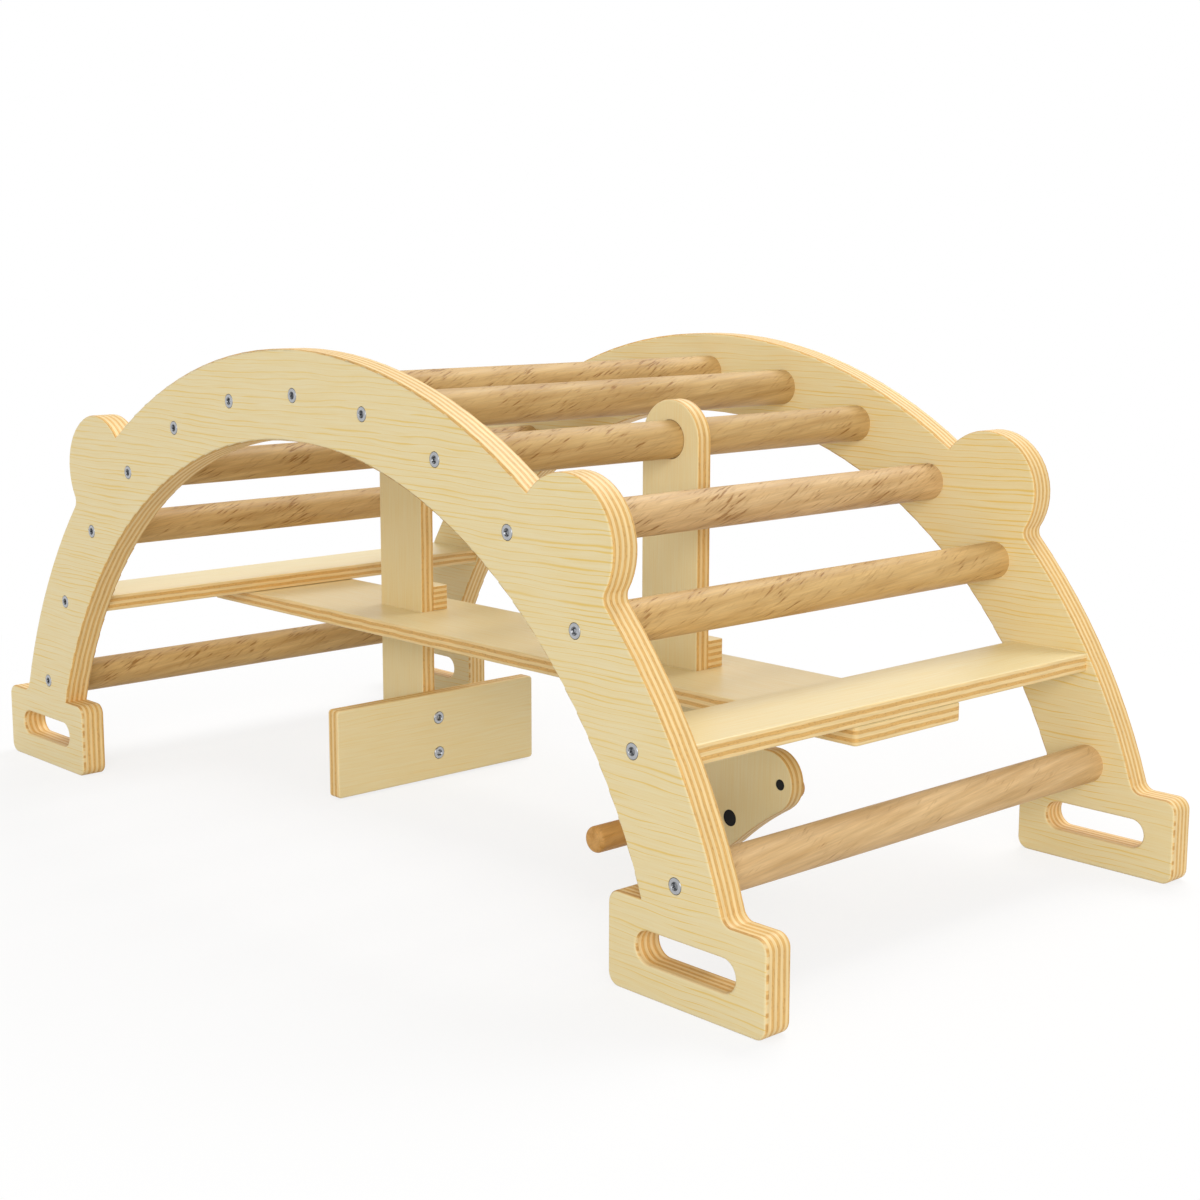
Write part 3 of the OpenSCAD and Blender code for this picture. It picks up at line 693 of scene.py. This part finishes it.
class ARCH_OT_hidden_fittings(Operator):
    """Finish the brass inserts, the zinc barrel nuts and the zinc wood screws"""

    bl_idname = "arch.hidden_fittings"
    bl_label = "Inserts, nuts and screws"

    def execute(self, context):
        # Machined brass is warm yellow, with a satin cut surface
        brass = plated("Brass, machined", linear("#C9A85A"), 0.32, 1.5 * MM)
        # Zinc plating is pale grey with a cloudy crystal figure
        zinc = plated("Zinc-plated steel", linear("#B9BCC0"), 0.38, 2.5 * MM)
        wear(["rung_inserts_front", "rung_inserts_back"], brass)
        wear(["step_barrel_nuts", "backrest_barrel_nuts", "plank_screws", "cleat_screws"], zinc)
        return {"FINISHED"}


class ARCH_OT_face_plugs(Operator):
    """Finish the black eye and nostril of the head: moulded plastic with a matte skin"""

    bl_idname = "arch.face_plugs"
    bl_label = "Eye and nostril"

    def execute(self, context):
        # Moulded black plastic is never quite black, and its fine spark-eroded skin keeps it matte
        material, tree, shader = new_material(
            "Black plastic, moulded", {"IOR": 1.5, "Specular IOR Level": 0.2}
        )
        where = add(tree, "ShaderNodeTexCoord")["Object"]
        skin = add(
            tree, "ShaderNodeTexNoise", {"Vector": where, "Scale": 1 / (0.5 * MM), "Detail": 2.0}
        )
        shade = add(
            tree,
            "ShaderNodeMix",
            {0: skin[0], 6: linear("#060607"), 7: linear("#121213")},
            data_type="RGBA",
        )
        rough = add(tree, "ShaderNodeMapRange", {0: skin[0], 1: 0.3, 2: 0.7, 3: 0.5, 4: 0.64})
        finish_shader(tree, shader, shade[2], rough[0], skin[0], strength=0.3, depth=0.08)
        wear(["eye_plug", "nostril_plug"], material)
        return {"FINISHED"}


def bolt_head(sizes):
    """A bolt's head as a closed mesh, its top at the stand-out height above z = 0.

    It is built of rings of points: drill point, hexagon socket, countersunk mouth, flat ring,
    rounded rim, side and underside.
    """
    points = 48
    rim_steps = 6
    bevel = 0.3 * MM
    flat = sizes.socket_w / 2
    corner = flat / math.cos(math.pi / 6)
    mouth = corner + 0.35 * MM
    drill = 0.8 * flat
    drill_tip = 0.45 * flat
    radius = sizes.head_d / 2
    top = sizes.proud
    floor = top - sizes.socket_h
    low = top - sizes.head_h
    angles = [2 * math.pi * n / points for n in range(points)]
    hexagon = [flat / math.cos((a % (math.pi / 3)) - math.pi / 6) for a in angles]
    rings = [
        [(drill, floor)] * points,
        [(r, floor) for r in hexagon],
        [(r, top - (mouth - r)) for r in hexagon],
        [(mouth, top)] * points,
    ]
    for step in range(rim_steps + 1):
        a = math.pi / 2 * step / rim_steps
        out = radius - sizes.rim_r * (1 - math.sin(a))
        rings.append([(out, top - sizes.rim_r * (1 - math.cos(a)))] * points)
    rings.append([(radius, low + bevel)] * points)
    rings.append([(radius - bevel, low)] * points)
    mesh = bmesh.new()
    away = mesh.verts.layers.float.new("from_axis")
    made = []
    for ring in rings:
        row = []
        for a, (r, z) in zip(angles, ring):
            vert = mesh.verts.new((r * math.cos(a), r * math.sin(a), z))
            vert[away] = r
            row.append(vert)
        made.append(row)
    for inner, outer in zip(made, made[1:]):
        for n in range(points):
            m = (n + 1) % points
            mesh.faces.new((inner[n], inner[m], outer[m], outer[n]))
    for row, z in ((made[0], floor - drill_tip), (made[-1], low)):
        tip = mesh.verts.new((0, 0, z))
        for n in range(points):
            mesh.faces.new((row[n], row[(n + 1) % points], tip))
    bmesh.ops.recalc_face_normals(mesh, faces=mesh.faces)
    for face in mesh.faces:
        face.smooth = True
    sharp = math.radians(30)
    for edge in mesh.edges:
        edge.smooth = edge.calc_face_angle(0) < sharp
    data = bpy.data.meshes.new("bolt_head")
    mesh.to_mesh(data)
    mesh.free()
    return data


def bolt_tree(material):
    """Puts a head and a shank on each point, turned at random about its own axis."""
    tree, given = new_group(
        BOLT_TREE,
        "GeometryNodeTree",
        {
            "Places": ("Geometry", None),
            "Head": ("Object", None),
            "Shank diameter": ("Float", 6 * MM),
            "Head depth": ("Float", 4 * MM),
            "Seed": ("Int", 0),
            "Plating": ("Material", material),
        },
        {"Bolts": ("Geometry", None)},
    )
    outward = add(
        tree, "GeometryNodeInputNamedAttribute", {"Name": "outward"}, data_type="FLOAT_VECTOR"
    )
    facing = add(tree, "FunctionNodeAlignRotationToVector", {"Vector": outward[0]}, axis="Z")
    turn = add(
        tree,
        "FunctionNodeRandomValue",
        {2: 0.0, 3: math.pi / 3, "Seed": given["Seed"]},
        data_type="FLOAT",
    )
    spin = add(tree, "FunctionNodeAxisAngleToRotation", {"Axis": (0, 0, 1), "Angle": turn[1]})
    pose = add(
        tree, "FunctionNodeRotateRotation", {0: facing[0], 1: spin[0]}, rotation_space="LOCAL"
    )
    head = add(tree, "GeometryNodeObjectInfo", {"Object": given["Head"]})
    heads = add(
        tree,
        "GeometryNodeInstanceOnPoints",
        {"Points": given["Places"], "Instance": head["Geometry"], "Rotation": pose[0]},
    )
    radius = add(tree, "ShaderNodeMath", {0: given["Shank diameter"], 1: 0.5}, operation="MULTIPLY")
    rod = add(
        tree,
        "GeometryNodeMeshCylinder",
        {"Vertices": 24, "Radius": radius[0], "Depth": 1.0},
        fill_type="TRIANGLE_FAN",
    )
    hung = add(tree, "GeometryNodeTransform", {"Geometry": rod[0], "Translation": (0, 0, -0.5)})
    reach = add(tree, "GeometryNodeInputNamedAttribute", {"Name": "shank"}, data_type="FLOAT")
    stretch = add(tree, "ShaderNodeCombineXYZ", {0: 1.0, 1: 1.0, 2: reach[0]})
    drop = add(tree, "ShaderNodeMath", {0: given["Head depth"], 1: -1.0}, operation="MULTIPLY")
    under = add(tree, "ShaderNodeVectorMath", {0: outward[0], 3: drop[0]}, operation="SCALE")
    seats = add(tree, "GeometryNodeSetPosition", {"Geometry": given["Places"], "Offset": under[0]})
    shanks = add(
        tree,
        "GeometryNodeInstanceOnPoints",
        {"Points": seats[0], "Instance": hung[0], "Rotation": pose[0], "Scale": stretch[0]},
    )
    both = add(tree, "GeometryNodeJoinGeometry", {0: heads[0]})
    tree.links.new(shanks[0], both[0].node.inputs[0])
    real = add(tree, "GeometryNodeRealizeInstances", {"Geometry": both[0]})
    done = add(tree, "GeometryNodeSetMaterial", {"Geometry": real[0], "Material": given["Plating"]})
    add(tree, "NodeGroupOutput", {0: done[0]})
    return tree


def bolt_plating(sizes):
    """Nickel-plated steel: silver, with the fine rings that turning left on the head, painted shade in
    the socket and round the rim, and a painted glint on the socket walls.
    """
    material, tree, shader = new_material(PLATING, {"Metallic": 1.0})
    away = add(tree, "ShaderNodeAttribute", attribute_name="from_axis")["Fac"]
    # Turning rings are a tenth of a millimetre apart, and are drawn three times as coarse to show
    rings = add(tree, "ShaderNodeMath", {0: away, 1: 1 / (0.3 * MM)}, operation="MULTIPLY")
    marks = add(
        tree,
        "ShaderNodeTexNoise",
        {"W": rings[0], "Scale": 1.0, "Detail": 1.0},
        noise_dimensions="1D",
    )
    where = add(tree, "ShaderNodeTexCoord")["Object"]
    smear = add(
        tree, "ShaderNodeTexNoise", {"Vector": where, "Scale": 1 / (4 * MM), "Detail": 2.0}
    )
    tone = add(tree, "ShaderNodeMapRange", {0: smear[0], 1: 0.3, 2: 0.7, 3: 0.86, 4: 1.0})
    # Painted shade and highlights: the socket's corners and mouth are painted dark as shade in the
    # recess, the middles of its walls are painted bright as a glint, and the head's rim is painted darker
    # as shade round its edge
    corner = sizes.socket_w / 2 / math.cos(math.pi / 6)
    mouth = corner + 0.5 * MM
    # Painted shade: the socket is darkened from its mouth inwards
    inside = add(tree, "ShaderNodeMapRange", {0: away, 1: corner, 2: mouth, 3: 0.12, 4: 1.0})
    # Painted highlight: the middles of the socket walls are painted bright as a glint
    wall_glint = add(
        tree, "ShaderNodeMapRange", {0: away, 1: 0.94 * corner, 2: corner, 3: 0.9, 4: 0.0}
    )
    inside = add(tree, "ShaderNodeMath", {0: inside[0], 1: wall_glint[0]}, operation="MAXIMUM")
    # Painted shade: the head's rim is darkened towards its outer edge
    rim = sizes.head_d / 2 - 0.5 * sizes.rim_r
    edge = add(
        tree, "ShaderNodeMapRange", {0: away, 1: rim, 2: sizes.head_d / 2, 3: 1.0, 4: 0.4}
    )
    for share in (inside[0], edge[0]):
        tone = add(tree, "ShaderNodeMath", {0: tone[0], 1: share}, operation="MULTIPLY")
    shade = add(tree, "ShaderNodeVectorMath", {0: sizes.metal[:3], 3: tone[0]}, operation="SCALE")
    rough = add(tree, "ShaderNodeMapRange", {0: marks[0], 1: 0.3, 2: 0.7, 3: 0.24, 4: 0.40})
    finish_shader(tree, shader, shade[0], rough[0], marks[0], strength=0.25, depth=0.05)
    return material


def make_bolts(context, name, places, body, replaced):
    """Makes bolts at these (place, outward direction, shank length) rows, as one mesh on one body."""
    sizes = context.scene.arch_bolts
    material = bpy.data.materials.get(PLATING) or bolt_plating(sizes)
    head = bpy.data.objects.new(name + "_head", bolt_head(sizes))
    cloud = bpy.data.meshes.new(name + "_places")
    cloud.from_pydata([place for place, _, _ in places], [], [])
    cloud.attributes.new("outward", "FLOAT_VECTOR", "POINT")
    cloud.attributes.new("shank", "FLOAT", "POINT")
    for n, (_, way, reach) in enumerate(places):
        cloud.attributes["outward"].data[n].vector = way
        cloud.attributes["shank"].data[n].value = reach
    holder = bpy.data.objects.new(name + "_places", cloud)
    context.scene.collection.objects.link(holder)
    tree = bpy.data.node_groups.get(BOLT_TREE) or bolt_tree(material)
    modifier = holder.modifiers.new("Bolts", "NODES")
    modifier.node_group = tree
    ids = {item.name: item.identifier for item in tree.interface.items_tree if item.in_out == "INPUT"}
    modifier[ids["Head"]] = head
    modifier[ids["Shank diameter"]] = sizes.shank_d
    modifier[ids["Head depth"]] = sizes.head_h - sizes.proud
    modifier[ids["Seed"]] = sizes.turn_seed
    modifier[ids["Plating"]] = material
    evaluated = holder.evaluated_get(context.evaluated_depsgraph_get())
    mesh = bpy.data.meshes.new_from_object(evaluated)
    bpy.data.objects.remove(holder)
    bpy.data.objects.remove(head)
    mesh.name = name
    piece = bpy.data.objects.new(name, mesh)
    context.scene.collection.objects.link(piece)
    if len(mesh.vertices) == 0:
        raise RuntimeError(name + " came out empty")
    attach(piece, body)
    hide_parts(*replaced)
    return piece


class ARCH_OT_panel_bolts(Operator):
    """Make the thirteen bolts through each side panel, one on each end of every rung and step board"""

    bl_idname = "arch.panel_bolts"
    bl_label = "Side panel bolts"

    def execute(self, context):
        sizes = context.scene.arch_bolts
        places = []
        for side, panel in ((-1, "side_panel_front"), (1, "side_panel_back")):
            low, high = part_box(panel)
            face = low.y if side < 0 else high.y
            for name in RUNGS + STEPS:
                start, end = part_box(name)
                middle = (start + end) / 2
                reach = sizes.step_l if name in STEPS else sizes.rung_l
                places.append(((middle.x, face, middle.z), (0, side, 0), reach))
        make_bolts(
            context,
            "panel_bolts",
            places,
            "frame",
            ["rung_bolts_front", "rung_bolts_back", "step_bolts"],
        )
        return {"FINISHED"}


class ARCH_OT_backrest_bolts(Operator):
    """Make the two bolts that hold the backrest to its upright"""

    bl_idname = "arch.backrest_bolts"
    bl_label = "Backrest bolts"

    def execute(self, context):
        sizes = context.scene.arch_bolts
        low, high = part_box("backrest_board")
        middle = (low + high) / 2
        rise = sizes.backrest_gap / 2
        places = [
            ((high.x, middle.y, middle.z + step), (1, 0, 0), sizes.backrest_l) for step in (-rise, rise)
        ]
        make_bolts(context, "backrest_board_bolts", places, "seat", ["backrest_bolts"])
        return {"FINISHED"}


def seen_rays(tree):
    """One where a ray comes from the camera, or by way of metal or glass, and zero elsewhere."""
    rays = add(tree, "ShaderNodeLightPath")
    seen = rays["Is Camera Ray"]
    for kind in ("Is Glossy Ray", "Is Transmission Ray"):
        seen = add(tree, "ShaderNodeMath", {0: seen, 1: rays[kind]}, operation="MAXIMUM")[0]
    return seen


def pale_floor(studio):
    """A floor that keeps a soft shadow round the object's feet and runs out to plain white."""
    material = bpy.data.materials.new("Pale floor")
    material.use_nodes = True
    tree = material.node_tree
    tree.nodes.clear()
    matt = add(tree, "ShaderNodeBsdfDiffuse", {"Color": studio.floor})
    under = add(tree, "ShaderNodeBsdfDiffuse", {"Color": studio.bounce})
    glow = add(tree, "ShaderNodeEmission", {"Color": (1, 1, 1, 1), "Strength": 1.0})
    where = add(tree, "ShaderNodeTexCoord")["Object"]
    away = add(tree, "ShaderNodeVectorMath", {0: where}, operation="LENGTH")["Value"]
    start, end = SHADOW_FADE
    white = add(
        tree,
        "ShaderNodeMapRange",
        {0: away, 1: start, 2: end, 3: studio.white_floor, 4: 1.0},
        interpolation_type="SMOOTHSTEP",
    )
    bright = add(tree, "ShaderNodeMixShader", {0: white[0], 1: matt[0], 2: glow[0]})
    both = add(tree, "ShaderNodeMixShader", {0: seen_rays(tree), 1: under[0], 2: bright[0]})
    add(tree, "ShaderNodeOutputMaterial", {"Surface": both[0]})
    return material


class ARCH_OT_studio(Operator):
    """Set up the pale floor, the soft light and the camera"""

    bl_idname = "arch.studio"
    bl_label = "Floor, light and camera"

    def execute(self, context):
        scene = context.scene
        studio = scene.arch_studio
        scene.view_settings.view_transform = "Standard"

        mesh = bpy.data.meshes.new("floor")
        ends = (-FLOOR_HALF, FLOOR_HALF)
        corners = [(x, y, 0) for y in ends for x in ends]
        mesh.from_pydata(corners, [], [(0, 1, 3, 2)])
        mesh.materials.append(pale_floor(studio))
        floor = bpy.data.objects.new("floor", mesh)
        scene.collection.objects.link(floor)

        world = bpy.data.worlds.new("Studio")
        world.use_nodes = True
        scene.world = world
        tree = world.node_tree
        tree.nodes.clear()
        strength = add(tree, "ShaderNodeMapRange", {0: seen_rays(tree), 3: studio.sky, 4: 1.0})
        sky = add(
            tree, "ShaderNodeBackground", {"Color": (1, 1, 1, 1), "Strength": strength[0]}
        )
        add(tree, "ShaderNodeOutputWorld", {"Surface": sky[0]})

        lamps = (
            ("key", KEY_PLACE, studio.key_power, studio.key_size),
            ("fill", FILL_PLACE, studio.fill_power, studio.fill_size),
        )
        for name, place, power, size in lamps:
            light = bpy.data.lights.new(name, "AREA")
            light.energy = power
            light.size = size
            lamp = bpy.data.objects.new(name, light)
            lamp.location = place
            aim = Vector(LAMP_AIM) - lamp.location
            lamp.rotation_euler = aim.to_track_quat("-Z", "Y").to_euler()
            scene.collection.objects.link(lamp)

        view = bpy.data.cameras.new("camera")
        view.sensor_width = 36
        view.lens = CAMERA_LENS
        view.shift_x, view.shift_y = CAMERA_SHIFT
        camera = bpy.data.objects.new("camera", view)
        camera.location = CAMERA_PLACE
        camera.rotation_euler = [math.radians(a) for a in CAMERA_TURN]
        scene.collection.objects.link(camera)
        scene.camera = camera
        return {"FINISHED"}


STEPS_IN_ORDER = (
    ARCH_OT_plywood,
    ARCH_OT_beech,
    ARCH_OT_hidden_fittings,
    ARCH_OT_face_plugs,
    ARCH_OT_panel_bolts,
    ARCH_OT_backrest_bolts,
    ARCH_OT_studio,
)


class ARCH_PT_finishes(Panel):
    """Lists the steps that finish the climbing arch"""

    bl_idname = "ARCH_PT_finishes"
    bl_label = "Climbing arch"
    bl_space_type = "VIEW_3D"
    bl_region_type = "UI"
    bl_category = "Climbing arch"

    def draw(self, context):
        for step in STEPS_IN_ORDER:
            self.layout.operator(step.bl_idname)
        for settings in SETTINGS:
            group = getattr(context.scene, settings)
            box = self.layout.box()
            for name in group.bl_rna.properties.keys():
                if name not in ("rna_type", "name"):
                    box.prop(group, name)


SETTINGS = {
    "arch_plywood": ArchPlywood,
    "arch_beech": ArchBeech,
    "arch_bolts": ArchBolts,
    "arch_studio": ArchStudio,
}
CLASSES = (*SETTINGS.values(), *STEPS_IN_ORDER, ARCH_PT_finishes)


def register():
    for item in CLASSES:
        bpy.utils.register_class(item)
    for name, kind in SETTINGS.items():
        setattr(bpy.types.Scene, name, PointerProperty(type=kind))


def unregister():
    for name in SETTINGS:
        delattr(bpy.types.Scene, name)
    for item in reversed(CLASSES):
        bpy.utils.unregister_class(item)


def main():
    register()
    for step in STEPS_IN_ORDER:
        category, name = step.bl_idname.split(".")
        getattr(getattr(bpy.ops, category), name)()


if __name__ == "__main__":
    main()
